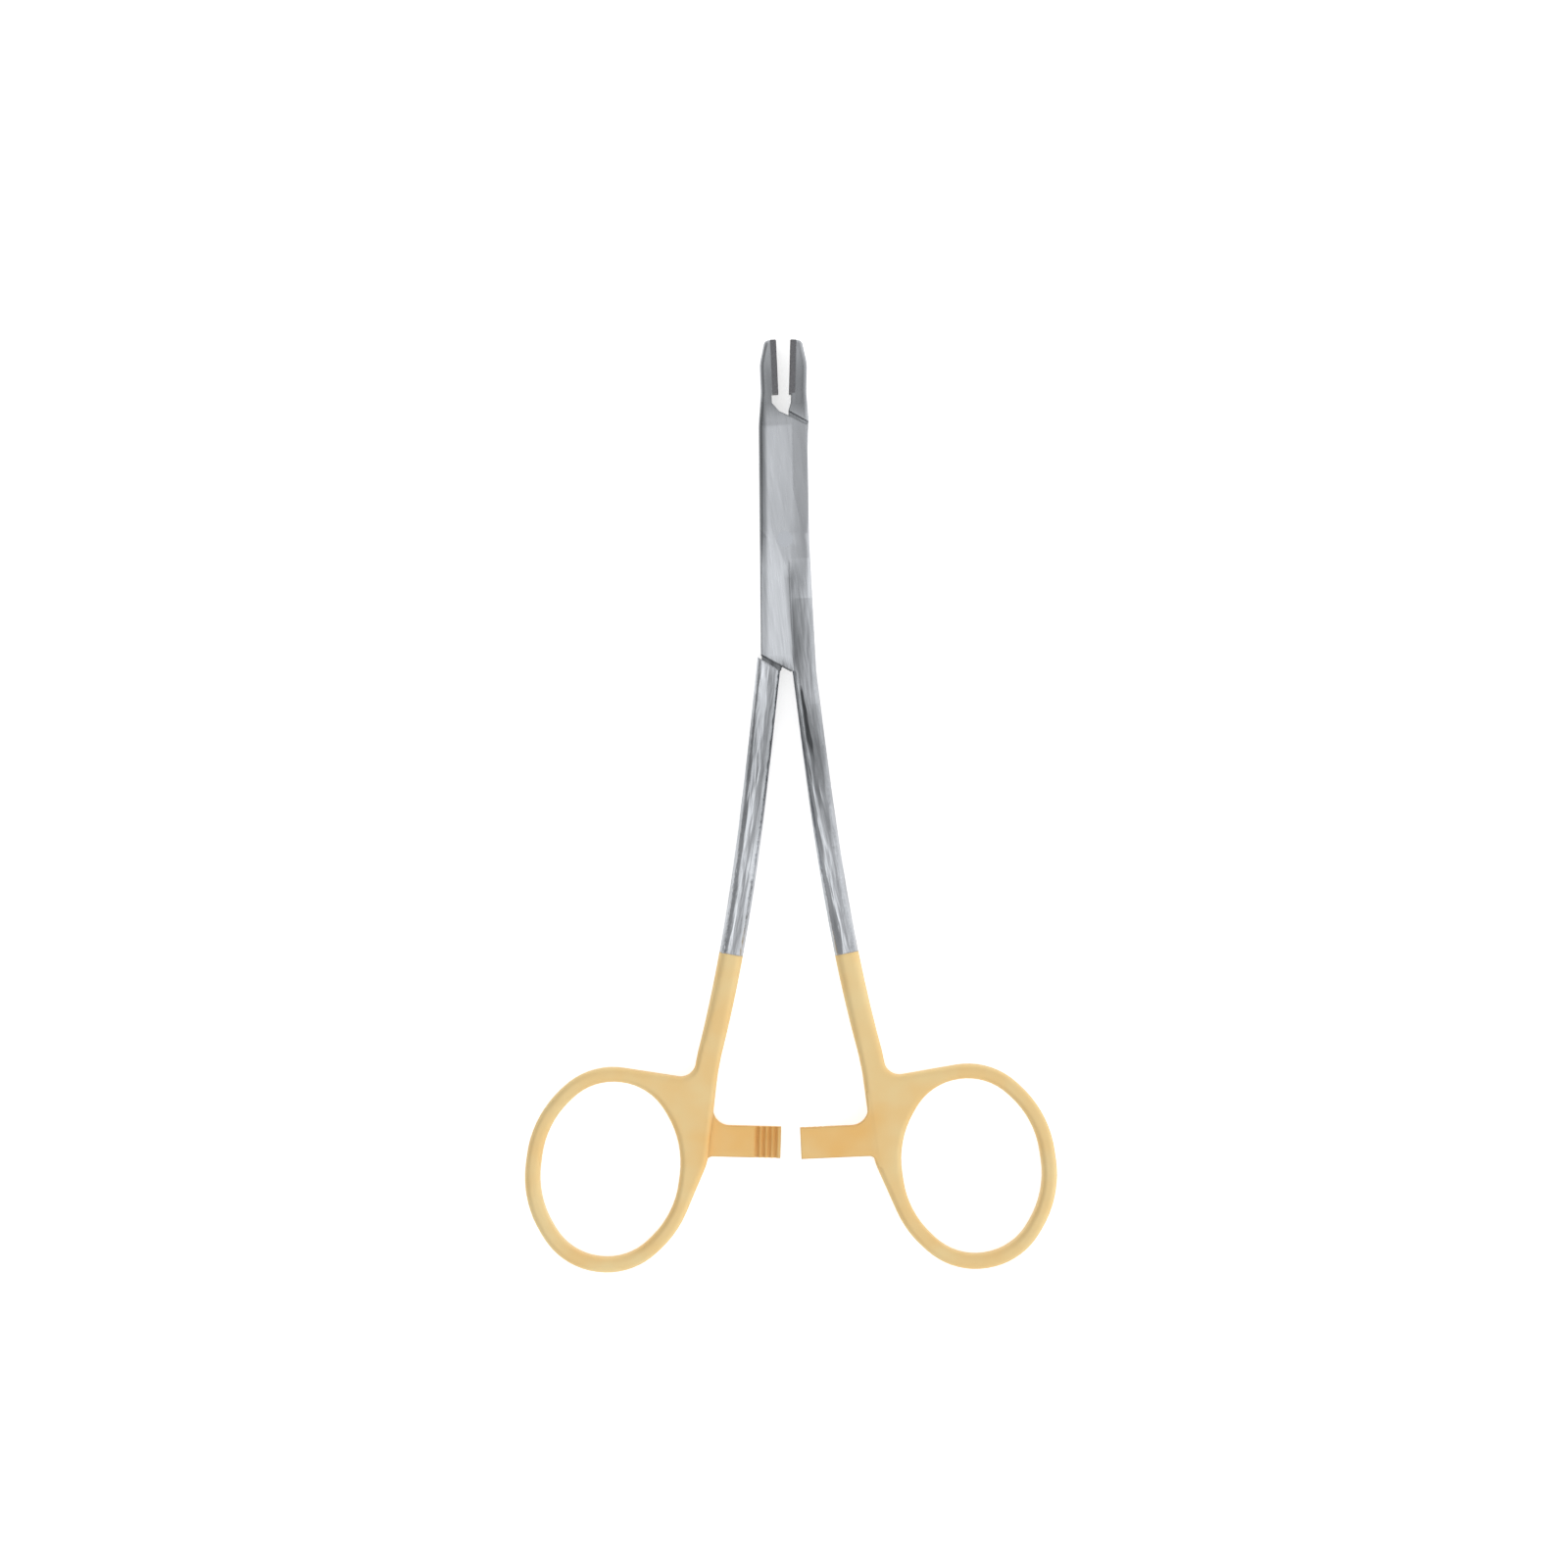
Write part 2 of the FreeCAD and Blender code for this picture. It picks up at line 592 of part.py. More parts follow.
# Where the box's left side passes the pin, and the height of the slot's corner there
SIDE_SHARE = "shoulder_height / (shoulder_height + foot_shoulder_depth)"
SIDE_AT_PIN = f"(box_half_width - {SHOULDER_LEAN} + ({SHOULDER_LEAN} + {FOOT_LEAN}) * {SIDE_SHARE})"
STOP_HEIGHT = f"(tongue_half_width - {SIDE_AT_PIN} * cos(stop_opening)) / sin(stop_opening)"


def wall_line(shift, distance):
    """Height of the slot's upper wall at a distance left of the centre line."""
    steep = f"(crotch_height - ({STOP_HEIGHT})) / {SIDE_AT_PIN}"
    return f"crotch_height - ({steep}) * (({distance}) + ({shift}))"


def foot_line(shift, distance):
    """Height of the slot's lower wall at a distance right of the centre line."""
    steep = f"(foot_depth - ({STOP_HEIGHT})) / {SIDE_AT_PIN}"
    return f"-foot_depth + ({steep}) * (({distance}) + ({shift}))"


def shoulder_line(x):
    """Height of the plates' jaw shoulder at x right of the centre line."""
    far_side = f"(box_half_width + {SHOULDER_LEAN})"
    return f"crotch_height - (crotch_height - shoulder_height) * ({x}) / {far_side}"


def foot_shoulder_line(x):
    """Height of the plates' foot shoulder at x left of the centre line."""
    far_side = f"(box_half_width + {FOOT_LEAN})"
    return f"-foot_depth + (foot_depth - foot_shoulder_depth) * ({x}) / {far_side}"


def cut_slot(body):
    """Slot through the box, closed by two slanted walls."""
    sketch = new_sketch(body, "slot_plan", "XY_Plane")
    add_outline(sketch, [
        (f"-{FAR}", wall_line("0", FAR)),
        (f"-{FAR}", "-(foot_depth + cut_overrun)"),
        ("0", "-(foot_depth + cut_overrun)"),
        ("0", "-foot_depth"),
        (FAR, foot_line("0", FAR)),
        (FAR, "crotch_height + cut_overrun"),
        ("0", "crotch_height + cut_overrun"),
        ("0", "crotch_height"),
    ])
    cut_both_ways(body, "slot", sketch, "tongue_thickness + 2 * slot_gap")


def mill_tongue(body):
    """Mill the other half down to the tongue and trim the tongue's sides."""
    gap = "shoulder_gap"
    sketch = new_sketch(body, "milling_plan", "XY_Plane", "tongue_thickness / 2")
    add_outline(sketch, [
        (f"-{FAR}", f"{foot_shoulder_line(FAR)} - {gap}"),
        ("0", f"-foot_depth - {gap}"),
        (FAR, f"-foot_depth - {gap}"),
        (FAR, f"{shoulder_line(FAR)} + {gap}"),
        ("0", f"crotch_height + {gap}"),
        (f"-{FAR}", f"crotch_height + {gap}"),
    ])
    mirror_level(body, "milling_below", cut_upwards(body, "milling_above", sketch))
    edge = "tongue_half_width"
    sketch = new_sketch(body, "trimming_plan", "XY_Plane")
    add_outline(sketch, [
        (f"-{edge}", f"{foot_shoulder_line(edge)} - {gap}"),
        (f"-{edge}", wall_line("wall_gap", edge)),
        ("wall_gap", f"{wall_line('wall_gap', '-wall_gap')}"),
        (f"-{FAR}", "crotch_height"),
        (f"-{FAR}", f"{foot_shoulder_line(FAR)} - {gap}"),
    ])
    add_outline(sketch, [
        (edge, f"{shoulder_line(edge)} + {gap}"),
        (edge, foot_line("wall_gap", edge)),
        ("-wall_gap", f"{foot_line('wall_gap', '-wall_gap')}"),
        (FAR, "-foot_depth"),
        (FAR, f"{shoulder_line(FAR)} + {gap}"),
    ])
    cut_both_ways(body, "trimming", sketch)


def cut_pin_bore(body, radius):
    """Bore on the pivot axis."""
    sketch = new_sketch(body, "pin_bore_plan", "XY_Plane")
    add_circle(sketch, radius)
    cut_both_ways(body, "pin_bore", sketch)


def seat_insert(body, side, relief):
    """Seat for the insert and the relief behind it."""
    sketch = new_sketch(body, "insert_seat_plan", "XY_Plane")
    add_outline(sketch, sided(side, [
        ("-insert_thickness", "insert_root_height"),
        ("cut_overrun", "insert_root_height"),
        ("cut_overrun", "jaw_length + cut_overrun"),
        ("-insert_thickness", "jaw_length + cut_overrun"),
    ]))
    cut_both_ways(body, "insert_seat", sketch)
    sketch = new_sketch(body, "relief_plan", "XY_Plane")
    add_outline(sketch, sided(side, [
        ("0", "crotch_height"),
        ("cut_overrun", "crotch_height"),
        ("cut_overrun", "insert_root_height"),
        (f"-{relief}", "insert_root_height"),
        (f"-{relief}", "relief_height"),
    ]))
    cut_both_ways(body, "relief", sketch)


def root_side(depth):
    """x at which the arm's root ends inside the ring's wall."""
    rise = f"((({depth}) - ring_depth) / ((ring_hole_length + ring_wall) / 2))"
    reach = "(ring_hole_width / 2 + arm_root_share * ring_wall)"
    return f"{RING_REACH} - {reach} * sqrt(1 - {rise} ^ 2)"


def add_arm(body, side):
    """Ratchet arm on its own level, rooted in the handle."""
    low = "(ring_depth - arm_rise + arm_width / 2)"
    high = "(ring_depth - arm_rise - arm_width / 2)"
    # The root's slanted sides sink into the handle two radii below and above the arm
    below = f"({low} + 2 * arm_heel_radius)"
    above = f"({high} - 2 * arm_root_radius)"
    level = f"{side} * (arm_level_gap + arm_thickness) / 2"
    sketch = new_sketch(body, "arm_plan", "XY_Plane", level)
    add_outline(sketch, sided(side, [
        ("-arm_overlap", f"-{low}"),
        (inner_side(low), f"-{low}", "arm_heel_radius"),
        (f"{heel_side(below)} + arm_root_bite", f"-{below}"),
        (root_side(low), f"-{low}"),
        (root_side(high), f"-{high}"),
        (f"{inner_side(above)} + arm_root_bite", f"-{above}"),
        (inner_side(high), f"-{high}", "arm_root_radius"),
        ("-arm_overlap", f"-{high}"),
    ]))
    pad_both_ways(body, "arm", sketch, "arm_thickness")


def cut_teeth(body, side):
    """Row of ratchet teeth in the face that meets the other arm."""
    face = f"{side} * arm_level_gap / 2"
    first = "tooth_start - arm_overlap"
    sketch = new_sketch(body, "tooth_profile", "XZ_Plane", "ring_depth - arm_rise")
    add_outline(sketch, sided(side, [
        (first, face),
        (f"{first} + tooth_pitch", face),
        (f"{first} + tooth_lean", f"{face} + {side} * tooth_depth"),
    ]))
    tooth = cut_both_ways(body, "tooth", sketch, "arm_width + 2 * cut_overrun")
    row = "tooth_pitch * (tooth_count - 1)"
    repeat_along(body, "teeth", tooth, "X_Axis", side < 0, row, "tooth_count")


def turn_to_rest(body, side):
    """Set a piece drawn with the jaws closed to the opening at rest."""
    body.Placement = FreeCAD.Placement(Vector(), FreeCAD.Rotation(Vector(0, 0, 1), side))
    body.setExpression("Placement.Base.z", "Sizes.box_thickness / 2")
    body.setExpression("Placement.Rotation.Angle", f"{side} * Sizes.rest_opening / 2")


def new_body(label):
    """Named body for one real piece."""
    body = document.addObject("PartDesign::Body", label)
    body.Label = label
    return body


def build_half(label, side, relief):
    """One forging with its jaw, lock part, shank, ring and arm."""
    body = new_body(label)
    build_handle(body, side)
    build_head(body, side)
    if side > 0:
        cut_plate_facets(body)
    build_shank(body, side)
    if side > 0:
        cut_slot(body)
        cut_pin_bore(body, "pin_radius")
    else:
        mill_tongue(body)
        cut_pin_bore(body, "pin_radius + pin_running_gap")
    seat_insert(body, side, relief)
    add_arm(body, side)
    cut_teeth(body, side)
    turn_to_rest(body, side)
    return body


def cut_grooves(body, side, lean):
    """One set of parallel grooves across the gripping face, leaning up or down."""
    name = "rising" if lean > 0 else "falling"
    reach = "box_thickness / 2"
    start = f"insert_root_height - {reach} + groove_pitch"
    half = "groove_width / 2 / cos(45)"
    face = f"-{side} * bite_gap / 2"
    sketch = new_sketch(body, f"{name}_groove_plan", "YZ_Plane", face)
    add_outline(sketch, [
        (f"{start} - {reach} - {half}", f"-{lean} * {reach}"),
        (f"{start} - {reach} + {half}", f"-{lean} * {reach}"),
        (f"{start} + {reach} + {half}", f"{lean} * {reach}"),
        (f"{start} + {reach} - {half}", f"{lean} * {reach}"),
    ])
    groove = cut_inwards(body, f"{name}_groove", sketch, "groove_depth", side < 0)
    span = "(jaw_length - insert_root_height + box_thickness)"
    count = f"floor({span} / groove_pitch)"
    row = f"groove_pitch * ({count} - 1)"
    repeat_along(body, f"{name}_grooves", groove, "Y_Axis", False, row, count)


def build_insert(label, side):
    """Hard-metal insert, tapered with its jaw."""
    body = new_body(label)
    sketch = new_sketch(body, "insert_plan", "XY_Plane")
    add_outline(sketch, sided(side, [
        ("-insert_thickness", "insert_root_height"),
        ("-bite_gap / 2", "insert_root_height"),
        ("-bite_gap / 2", "jaw_length"),
        ("-insert_thickness", "jaw_length"),
    ]))
    pad_both_ways(body, "insert", sketch, "box_thickness")
    taper_jaw(body)
    cut_grooves(body, side, 1)
    cut_grooves(body, side, -1)
    turn_to_rest(body, side)
    return body


def build_pin():
    """Rivet through box and tongue, flush with both plates."""
    body = new_body("pivot_pin")
    sketch = new_sketch(body, "pin_section", "XY_Plane")
    add_circle(sketch, "pin_radius")
    pad_both_ways(body, "shaft", sketch, "box_thickness")
    body.setExpression("Placement.Base.z", "Sizes.box_thickness / 2")
    return body


pieces = [
    build_half("box_half", 1, "left_relief"),
    build_half("tongue_half", -1, "right_relief"),
    build_pin(),
    build_insert("left_jaw_insert", 1),
    build_insert("right_jaw_insert", -1),
]
document.recompute()

for item in document.Objects:
    faults = [state for state in item.State if state in ("Invalid", "Error")]
    assert not faults, (item.Label, faults)
os.makedirs("parts", exist_ok=True)
for piece in pieces:
    shape = piece.Shape
    assert not shape.isNull() and shape.isValid(), piece.Label
    assert len(shape.Solids) == 1, (piece.Label, len(shape.Solids))
    shape.exportStep(f"parts/{piece.Label}.step")
    print(piece.Label, "volume", round(shape.Volume, 2), "faces", len(shape.Faces))
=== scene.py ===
"""Looks of a box-lock needle holder with ground steel shanks, plated handles and hard-metal jaw inserts.

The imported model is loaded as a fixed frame, in metres: the pivot's axis is at the origin, the jaws point
along +Y and the instrument lies on the plane z = 0.  Each forging is shown as two pieces, its steel part
and its plated part, which meet at the plating line.
"""

import logging
import math
from collections.abc import Callable
from dataclasses import dataclass
from enum import Enum

import bpy
from mathutils import Euler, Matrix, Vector


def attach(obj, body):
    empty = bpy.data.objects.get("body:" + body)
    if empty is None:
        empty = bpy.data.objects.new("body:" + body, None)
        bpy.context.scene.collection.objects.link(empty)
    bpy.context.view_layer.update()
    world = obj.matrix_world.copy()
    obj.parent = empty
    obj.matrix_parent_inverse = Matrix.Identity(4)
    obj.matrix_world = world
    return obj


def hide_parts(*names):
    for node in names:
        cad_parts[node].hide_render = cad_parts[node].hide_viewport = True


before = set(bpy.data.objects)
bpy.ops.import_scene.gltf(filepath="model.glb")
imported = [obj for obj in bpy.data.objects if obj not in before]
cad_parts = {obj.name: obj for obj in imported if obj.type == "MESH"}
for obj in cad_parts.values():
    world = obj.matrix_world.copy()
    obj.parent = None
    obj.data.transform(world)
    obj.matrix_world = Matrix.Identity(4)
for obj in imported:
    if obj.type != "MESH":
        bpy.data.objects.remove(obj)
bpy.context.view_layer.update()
REST_TURN = math.radians(2.0)
MID_HEIGHT = 0.0025
NOISE_REACH = (0.3, 0.7)
SHARES = (0.0, 1.0)
WHITE = (1.0, 1.0, 1.0, 1.0)
Colour = tuple[float, float, float]
Corner = tuple[float, float, float]
Spot = tuple[float, float]
Range = tuple[float, float]
Fade = tuple[Range, Range]
Socket = bpy.types.NodeSocket

log = logging.getLogger("needle_holder")


class Slot(Enum):
    """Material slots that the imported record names."""

    STEEL = "satin_steel"
    PIN = "polished_pin"
    CARBIDE = "hard_metal"
    GOLD = "gold_plate"


class Side(Enum):
    """Side of the centre line on which a forging's handle lies."""

    RIGHT = 1
    LEFT = -1

    @property
    def ridge_shifts(self) -> Range:
        """How far the shank's ridge lies outside its axis, at the lock and at the plating."""
        return (-0.0014, -0.0002) if self is Side.RIGHT else (0.0001, 0.0001)

    @property
    def ridge_slopes(self) -> Range:
        """Slope of the shank's ridge at the lock and at the plating."""
        return (0.24, 0.08) if self is Side.RIGHT else (0.16, 0.12)


class NodeBoard:
    """A material's node tree, with short ways to add and join its nodes."""

    def __init__(self, name: str) -> None:
        """Start a material with its Principled shader.

        Args:
            name: name of the material.
        """
        self.material = bpy.data.materials.new(name)
        self.material.use_nodes = True
        self.tree = self.material.node_tree
        self.shader = self.tree.nodes["Principled BSDF"]

    def add(self, kind: str, **settings: object) -> bpy.types.Node:
        """Add a node.

        Args:
            kind: the node's type, without its ShaderNode prefix.
            settings: attributes of the node to set.

        Returns:
            The new node.
        """
        node = self.tree.nodes.new(f"ShaderNode{kind}")
        for key, value in settings.items():
            setattr(node, key, value)
        return node

    def join(self, source: Socket, target: Socket) -> None:
        """Link an output to an input."""
        self.tree.links.new(source, target)

    def feed(self, source: Socket | float, target: Socket) -> None:
        """Link an output to an input, or set the input to a number."""
        if isinstance(source, bpy.types.NodeSocket):
            self.join(source, target)
        else:
            target.default_value = source

    def worked_out(self, operation: str, *terms: Socket | float) -> Socket:
        """Work out a value from others.

        Args:
            operation: name of the Math node's operation.
            terms: its inputs, each an output of another node or a number.

        Returns:
            The value.
        """
        node = self.add("Math", operation=operation)
        for term, place in zip(terms, node.inputs):
            self.feed(term, place)
        return node.outputs["Value"]

    def split(self, vector: Socket) -> list[Socket]:
        """Split a vector into its three coordinates."""
        node = self.add("SeparateXYZ")
        self.join(vector, node.inputs["Vector"])
        return list(node.outputs)

    def stretched(self, source: Socket, grain: Corner) -> Socket:
        """Scale coordinates so that one unit is one grain.

        Args:
            source: coordinates in metres.
            grain: size of the grain along the three axes, in metres.

        Returns:
            The scaled coordinates.
        """
        mapping = self.add("Mapping")
        mapping.inputs["Scale"].default_value = [1 / size for size in grain]
        self.join(source, mapping.inputs["Vector"])
        return mapping.outputs["Vector"]

    def noise(self, vector: Socket, detail: float = 2.0, roughness: float = 0.5) -> Socket:
        """Smooth noise over scaled coordinates.

        Args:
            vector: coordinates in grains.
            detail: number of finer layers.
            roughness: strength of the finer layers.

        Returns:
            The noise, about 0.5.
        """
        node = self.add("TexNoise")
        node.inputs["Scale"].default_value = 1.0
        node.inputs["Detail"].default_value = detail
        node.inputs["Roughness"].default_value = roughness
        self.join(vector, node.inputs["Vector"])
        return node.outputs["Fac"]

    def spread(self, source: Socket, reach: Range, out: Range) -> Socket:
        """Map a range of values onto another, clamped.

        Args:
            source: value to map.
            reach: the two values between which it counts.
            out: values at those two.

        Returns:
            The mapped value.
        """
        node = self.add("MapRange")
        for name, value in zip(("From Min", "From Max", "To Min", "To Max"), reach + out):
            node.inputs[name].default_value = value
        self.join(source, node.inputs["Value"])
        return node.outputs["Result"]

    def faded(self, value: Socket | float, source: Socket, fades: tuple[Fade, ...]) -> Socket:
        """Scale a value by shares that change along another value.

        Args:
            value: value to scale.
            source: value along which the shares change.
            fades: stretches of the source, each with the shares at its two ends.

        Returns:
            The scaled value.
        """
        for stretch, shares in fades:
            value = self.worked_out("MULTIPLY", value, self.spread(source, stretch, shares))
        return value

    def blend(self, factor: Socket, low: Colour, high: Colour) -> Socket:
        """Blend two colours.

        Args:
            factor: 0 for the first colour and 1 for the second.
            low: first colour, linear.
            high: second colour, linear.

        Returns:
            The blended colour.
        """
        node = self.add("Mix", data_type="RGBA")
        colours = [socket for socket in node.inputs if socket.type == "RGBA"]
        for socket, colour in zip(colours, (low, high)):
            socket.default_value = (*colour, 1.0)
        self.join(factor, node.inputs["Factor"])
        return next(socket for socket in node.outputs if socket.type == "RGBA")

    def finish(self, colour: Socket, roughness: Socket, metallic: float) -> None:
        """Set the shader's colour, roughness and share of metal."""
        self.join(colour, self.shader.inputs["Base Color"])
        self.join(roughness, self.shader.inputs["Roughness"])
        self.shader.inputs["Metallic"].default_value = metallic

    def relief(self, height: Socket, edge: Socket | float) -> None:
        """Raise the surface by a height map, over softened edges.

        Args:
            height: height map, in metres.
            edge: radius that sharp edges seem broken by, in metres.
        """
        soft = self.add("Bevel", samples=4)
        self.feed(edge, soft.inputs["Radius"])
        bump = self.add("Bump")
        bump.inputs["Strength"].default_value = 1.0
        bump.inputs["Distance"].default_value = 1.0
        self.join(height, bump.inputs["Height"])
        self.join(soft.outputs["Normal"], bump.inputs["Normal"])
        self.join(bump.outputs["Normal"], self.shader.inputs["Normal"])


@dataclass(frozen=True)
class Site:
    """Where a point of a forging lies, as values in its material.

    Attributes:
        lying: distance to the right of the pivot as the instrument lies.
        plan: coordinates in plan, jaws closed.
        reach: distance from the centre line towards the forging's own handle.
        depth: depth below the pivot.
        across: distance from the shank's ridge, positive on the outer side.
        grain: coordinates that follow the shank, for its grinding lines.
    """

    lying: Socket
    plan: tuple[Socket, Socket]
    reach: Socket
    depth: Socket
    across: Socket
    grain: Socket


@dataclass(frozen=True)
class Joint:
    """Straight joint in plan between a plate's end and the other forging's shoulder, jaws closed.

    Attributes:
        start: its inner end.
        end: its outer end.
        plate_reach: how far its mark reaches on the plates, counted away from the pivot.
        tongue_reach: how far its mark reaches on the tongue half, counted away from the pivot.
        fade: distance over which a mark fades.
    """

    start: Spot
    end: Spot
    plate_reach: Range = (-0.00010, 0.00030)
    tongue_reach: Range = (-0.00100, -0.00008)
    fade: float = 0.00014

    def distance(self, place: Vector) -> float:
        """Distance of a place from the joint in plan."""
        start, end = Vector(self.start), Vector(self.end)
        run = end - start
        share = min(max((place.xy - start).dot(run) / run.length_squared, 0.0), 1.0)
        return (place.xy - start - share * run).length

    def mark(self, board: NodeBoard, side: Side, plan: tuple[Socket, Socket]) -> Socket:
        """Soft dark line along the joint, on the tongue half also painted shade over what its gap shows of
        the tongue.

        Args:
            board: material to add the nodes to.
            side: which forging is marked; the plates are the right one's.
            plan: coordinates in plan, jaws closed.

        Returns:
            1 on the joint, falling to 0 beside it.
        """
        start, run = Vector(self.start), Vector(self.end) - Vector(self.start)
        along = run.normalized()
        reach = self.plate_reach if side is Side.RIGHT else self.tongue_reach
        marks = []
        for axis, (low, high) in ((along.orthogonal(), reach), (along, (0.0, run.length))):
            middle, half = (low + high) / 2, (high - low) / 2
            value = board.worked_out("MULTIPLY_ADD", plan[0], axis.x, -start.dot(axis) - middle)
            value = board.worked_out("MULTIPLY_ADD", plan[1], axis.y, value)
            away = board.worked_out("ABSOLUTE", value)
            marks.append(board.spread(away, (half - self.fade / 2, half + self.fade), (1.0, 0.0)))
        return board.worked_out("MULTIPLY", *marks)


JAW_JOINT = Joint((0.0, 0.0193), (0.0041, 0.0172))
FOOT_JOINT = Joint((0.0, -0.0199), (-0.0044, -0.0173))


@dataclass(frozen=True)
class Band:
    """Darker band on a surface.

    Attributes:
        shade: how much darker the band is.
        widths: distances across the band between which its shade falls to nothing.
        fades: stretches along the band, each with the band's shares at its two ends.
    """

    shade: float
    widths: Range
    fades: tuple[Fade, ...]

    def shade_at(self, board: NodeBoard, across: Socket, along: Socket) -> Socket:
        """Shade of the band at a place.

        Args:
            board: material to add the nodes to.
            across: distance across the band.
            along: distance along the band.

        Returns:
            How much darker the place is.
        """
        return board.faded(board.spread(across, self.widths, (self.shade, 0.0)), along, self.fades)


@dataclass(frozen=True)
class ShankLine:
    """Axis of a shank, as a distance from the centre line at a depth below the pivot, jaws closed."""

    start_reach: float = 0.00205
    start_depth: float = 0.020
    start_slope: float = 0.0805
    bow_depth: float = 0.0358
    bow_span: float = 0.0206
    bow_radius: float = 0.246
    ridge_depths: Range = (0.025, 0.050)

    def across(self, board: NodeBoard, side: Side, reach: Socket, depth: Socket) -> Socket:
        """Distance from the shank's ridge.

        Args:
            board: material to add the nodes to.
            side: which forging the shank belongs to.
            reach: distance from the centre line.
            depth: depth below the pivot.

        Returns:
            The distance, positive on the outer side.
        """
        bow_end = self.bow_depth + self.bow_span
        run = board.worked_out("SUBTRACT", depth, self.start_depth)
        axis = board.worked_out("MULTIPLY_ADD", run, self.start_slope, self.start_reach)
        bow = board.spread(depth, (self.bow_depth, bow_end), (0.0, self.bow_span))
        square = board.worked_out("MULTIPLY", bow, bow)
        axis = board.worked_out("MULTIPLY_ADD", square, 0.5 / self.bow_radius, axis)
        past = board.worked_out("MAXIMUM", board.worked_out("SUBTRACT", depth, bow_end), 0.0)
        axis = board.worked_out("MULTIPLY_ADD", past, self.bow_span / self.bow_radius, axis)
        shift = board.spread(depth, self.ridge_depths, side.ridge_shifts)
        return board.worked_out("SUBTRACT", reach, board.worked_out("ADD", axis, shift))


@dataclass(frozen=True)
class GroundSteel:
    """Stainless steel: the lock and the jaws satin ground, the shanks polished over a low ridge."""

    side: Side
    axis: ShankLine = ShankLine()
    bright: Colour = (0.56, 0.58, 0.61)
    dark: Colour = (0.08, 0.085, 0.09)
    line: Corner = (0.00010, 0.0045, 0.00010)
    streak: Corner = (0.0012, 0.0090, 0.0016)
    streak_fineness: float = 0.55
    satin: Range = (0.26, 0.34)
    polish: Range = (0.16, 0.24)
    line_height: float = 0.0000015
    streak_height: float = 0.00020
    satin_share: float = 0.13
    ridge_width: float = 0.0005
    edge: float = 0.00035
    pin_edge: float = 0.00002
    pin_reaches: Range = (0.0017, 0.0024)
    foot_depths: Range = (0.0175, 0.0205)
    beside_depths: Range = (0.003, 0.009)
    beside_reaches: Range = (0.0003, 0.0006)
    satin_tone: float = 0.75
    streak_tone: float = 0.9
    satin_streaks: float = 0.3
    joint_shades: Range = (0.28, 0.62)
    # Painted shade on the jaw, deepest towards the centre line and weaker towards the tip
    jaw: Band = Band(0.36, (-0.0020, -0.0042), (
        ((-0.0285, -0.0240), (0.4, 1.0)), ((-0.0205, -0.0180), (1.0, 0.0)),
    ))
    # Painted shade along the plates' left edge
    left_edge: Band = Band(0.50, (-0.0030, -0.0025), (
        ((-0.0215, -0.0180), (0.0, 1.0)), ((0.000, 0.004), (1.0, 0.55)),
    ))
    # Painted shade along the plates' foot facet, a band that leans outwards down the shank
    painted_facet_shade: Band = Band(0.36, (0.0002, 0.0010), (
        ((0.004, 0.006), (0.0, 1.0)), ((0.019, 0.023), (1.0, 0.3)),
    ))
    painted_facet_shade_start: float = 0.0002
    painted_facet_shade_lean: float = 0.04
    # Painted shade over the middle of the shank
    bow_shade: float = 0.22
    bow_fades: tuple[Fade, ...] = (((0.022, 0.028), (0.0, 1.0)), ((0.040, 0.046), (1.0, 0.0)))
    # Painted dark reflection on the right shank beside its ridge
    painted_reflection: Band = Band(1.0, (0.00015, 0.0005), (
        ((0.0220, 0.0232), (0.0, 1.0)), ((0.0305, 0.0330), (0.75, 0.35)), ((0.040, 0.044), (1.0, 0.0)),
    ))
    painted_reflection_place: float = 0.0013
    painted_reflection_fray: float = 0.0016

    def material(self) -> bpy.types.Material:
        """Material that follows the forging's own shank.

        Returns:
            The finished material.
        """
        board = NodeBoard(f"ground_steel_{self.side.name.lower()}")
        site = self.site(board)
        lines = board.noise(board.stretched(site.grain, self.line))
        streaks = board.noise(board.stretched(site.grain, self.streak), roughness=self.streak_fineness)
        shank = self.shank_share(board, site)
        tone = self.tone(board, site, shank, streaks)
        satin = board.spread(lines, NOISE_REACH, self.satin)
        polish = board.spread(lines, NOISE_REACH, self.polish)
        gloss = board.worked_out("MULTIPLY_ADD", shank, board.worked_out("SUBTRACT", polish, satin), satin)
        board.finish(board.blend(tone, self.dark, self.bright), gloss, 1.0)
        height = self.height(board, site, shank, lines, streaks)
        board.relief(height, self.edge_radius(board, site))
        return board.material

    def site(self, board: NodeBoard) -> Site:
        """Where a point of the forging lies.

        Args:
            board: material to add the nodes to.

        Returns:
            The point's places and distances.
        """
        lying = board.add("TexCoord").outputs["Object"]
        turn = board.add("VectorRotate", rotation_type="Z_AXIS")
        turn.inputs["Angle"].default_value = -self.side.value * REST_TURN
        board.join(lying, turn.inputs["Vector"])
        right, up, level = board.split(turn.outputs["Vector"])
        reach = board.worked_out("MULTIPLY", right, self.side.value)
        depth = board.worked_out("MULTIPLY", up, -1.0)
        across = self.axis.across(board, self.side, reach, depth)
        grain = board.add("CombineXYZ")
        for source, target in zip((across, depth, level), grain.inputs):
            board.join(source, target)
        return Site(board.split(lying)[0], (right, up), reach, depth, across, grain.outputs["Vector"])

    def shank_share(self, board: NodeBoard, site: Site) -> Socket:
        """How far a place belongs to the polished shank.

        Args:
            board: material to add the nodes to.
            site: where the place lies.

        Returns:
            0 on the lock and the jaw, 1 on the shank.
        """
        below = board.spread(site.depth, self.foot_depths, SHARES)
        if self.side is Side.LEFT:
            return below
        beside = board.worked_out(
            "MULTIPLY",
            board.spread(site.depth, self.beside_depths, SHARES),
            board.spread(site.reach, self.beside_reaches, SHARES),
        )
        return board.worked_out("MAXIMUM", below, beside)

